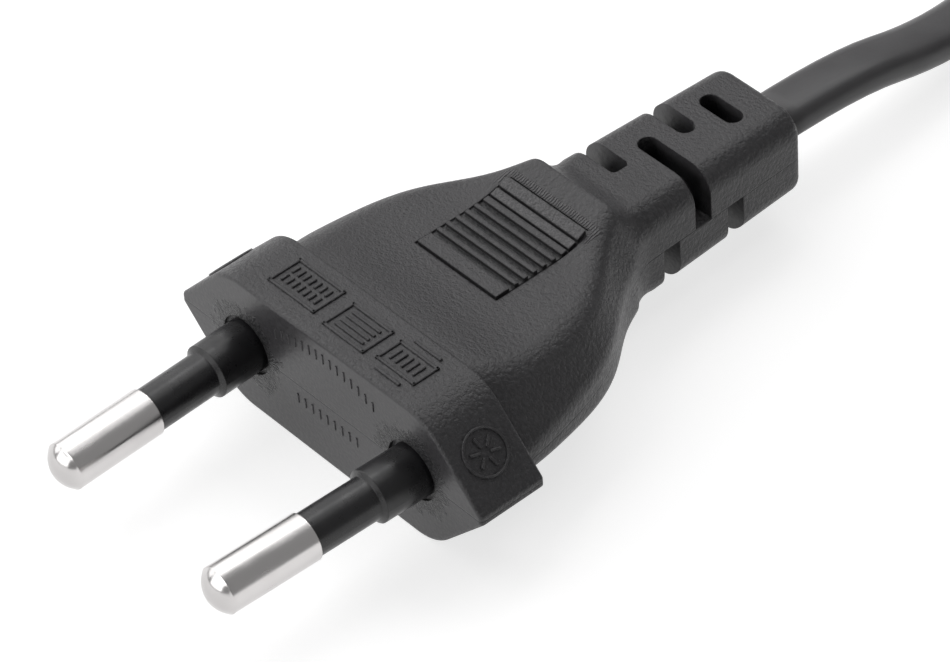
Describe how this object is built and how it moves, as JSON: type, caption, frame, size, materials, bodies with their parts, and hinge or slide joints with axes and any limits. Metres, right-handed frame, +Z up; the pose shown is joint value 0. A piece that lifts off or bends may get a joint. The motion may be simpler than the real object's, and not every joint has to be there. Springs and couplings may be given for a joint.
{
  "type": "two-pin plug",
  "caption": "Flat moulded mains plug with two round sleeved pins, a slanted flange, ribbed grips, a slotted strain relief and a flat two-core lead.",
  "frame": {"origin": "on the engagement face, midway between the pins at half the plug's height", "axes": "+Y from the face towards the lead, so the pins point along -Y; +X towards the right pin seen from above with the pins towards the viewer; +Z up, with the plug lying on its flat side"},
  "size_m": [0.0505, 0.1887, 0.0191],
  "materials": {
    "body_pvc": "satin, finely eroded",
    "pin_plating": "bright nickel plating",
    "sleeve": "smooth black polyamide",
    "bridge": "matt grey polyamide",
    "copper": "fine bare copper strands",
    "core_blue": "satin blue PVC",
    "core_brown": "satin brown PVC",
    "sheath": "satin black PVC",
    "tie": "matt black tie band",
    "tin": "tinned copper",
    "ferrule_collar": "matt pale grey plastic"
  },
  "bodies": {
    "root": {"moulded_body": "body_pvc", "pin_bridge": "bridge", "pin_left": "pin_plating", "pin_right": "pin_plating", "sleeve_left": "sleeve", "sleeve_right": "sleeve", "copper_strands_left": "copper", "copper_strands_right": "copper", "core_insulation_left": "core_blue", "core_insulation_right": "core_brown", "sheath_in_plug": "sheath", "cord_tube": "sheath", "cord_hank": "sheath", "cord_tail": "sheath", "hank_tie": "tie", "end_core_left": "core_blue", "end_core_right": "core_brown", "ferrule_tube_left": "tin", "ferrule_tube_right": "tin", "ferrule_collar_left": "ferrule_collar", "ferrule_collar_right": "ferrule_collar"}
  },
  "joints": []
}
